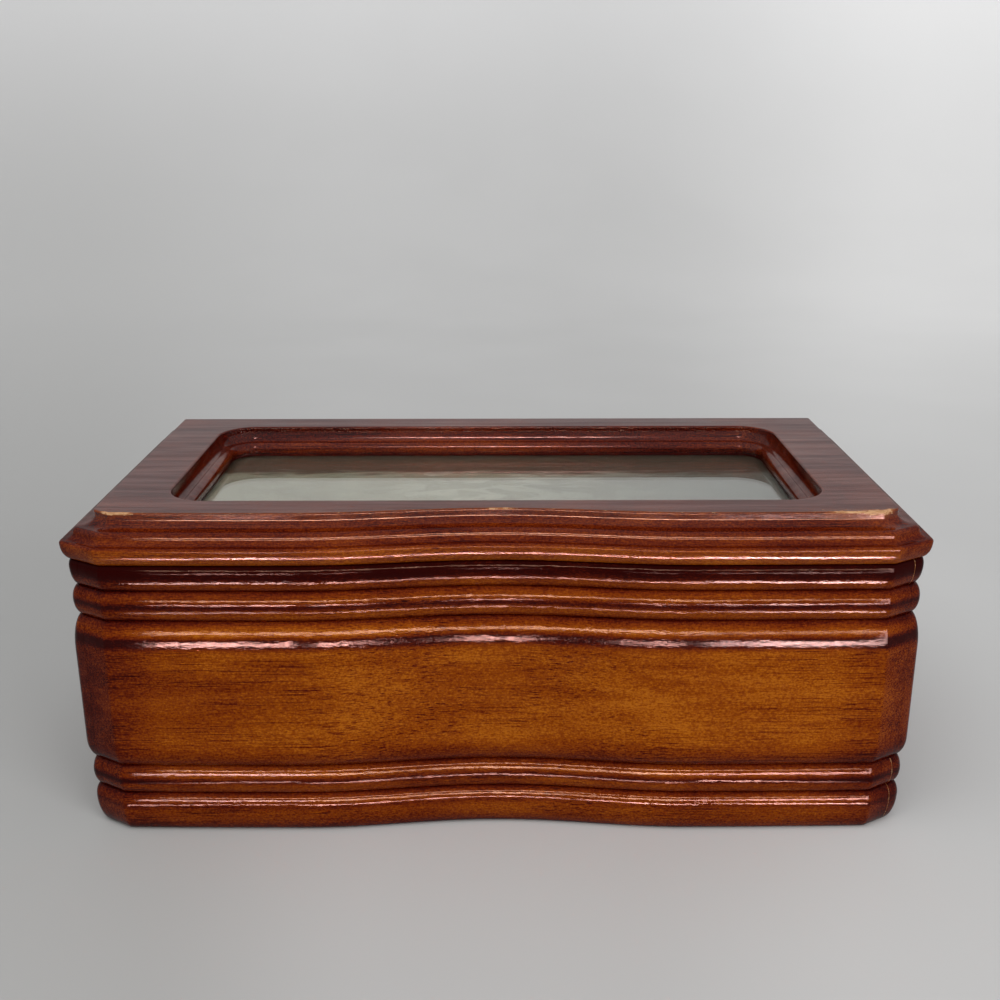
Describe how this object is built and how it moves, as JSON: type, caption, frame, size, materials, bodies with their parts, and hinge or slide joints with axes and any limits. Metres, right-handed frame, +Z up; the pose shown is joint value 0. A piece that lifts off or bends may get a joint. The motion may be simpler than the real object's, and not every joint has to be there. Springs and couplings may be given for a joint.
{
  "type": "wooden box",
  "caption": "Low wooden box with a serpentine front, canted front corners, reeded mouldings and a hinged lid that frames a glass window.",
  "frame": {"origin": "middle of the box's footprint, hinges included, on the surface that it stands on", "axes": "+X to the right along the front, +Y to the hinged back, +Z up"},
  "size_m": [0.2716, 0.1356, 0.1087],
  "materials": {
    "case_wood": "orange-brown stain under gloss lacquer",
    "lid_wood": "orange-brown stain under gloss lacquer",
    "floor_board": "bare thin board",
    "backing_board": "bare thin board",
    "window_glass": "clear flat glass",
    "card": "aged pale card",
    "velvet": "short pile velvet over board",
    "hinge_brass": "satin",
    "pin_steel": "drawn",
    "screw_brass": "satin"
  },
  "bodies": {
    "case": {"front_wall": "case_wood", "left_wall": "case_wood", "right_wall": "case_wood", "back_wall": "case_wood", "bottom_panel": "floor_board", "floor_pad": "velvet", "front_lining": "velvet", "back_lining": "velvet", "left_lining": "velvet", "right_lining": "velvet", "left_hinge_case_leaf": "hinge_brass", "right_hinge_case_leaf": "hinge_brass", "left_hinge_pin": "pin_steel", "right_hinge_pin": "pin_steel", "case_hinge_screw_1": "screw_brass", "case_hinge_screw_2": "screw_brass", "case_hinge_screw_3": "screw_brass", "case_hinge_screw_4": "screw_brass"},
    "lid": {"lid_board": "lid_wood", "glass_pane": "window_glass", "display_card": "card", "lid_backing": "backing_board", "lid_pad": "velvet", "left_hinge_lid_leaf": "hinge_brass", "right_hinge_lid_leaf": "hinge_brass", "lid_hinge_screw_1": "screw_brass", "lid_hinge_screw_2": "screw_brass", "lid_hinge_screw_3": "screw_brass", "lid_hinge_screw_4": "screw_brass", "backing_screw_1": "screw_brass", "backing_screw_2": "screw_brass", "backing_screw_3": "screw_brass", "backing_screw_4": "screw_brass", "backing_screw_5": "screw_brass", "backing_screw_6": "screw_brass"}
  },
  "joints": [
    {"name": "lid_hinge", "type": "hinge", "parent": "case", "child": "lid", "pos_m": [0, 0.06326, 0.09415], "axis": [-1, 0, 0], "range_deg": [0, 100]}
  ]
}
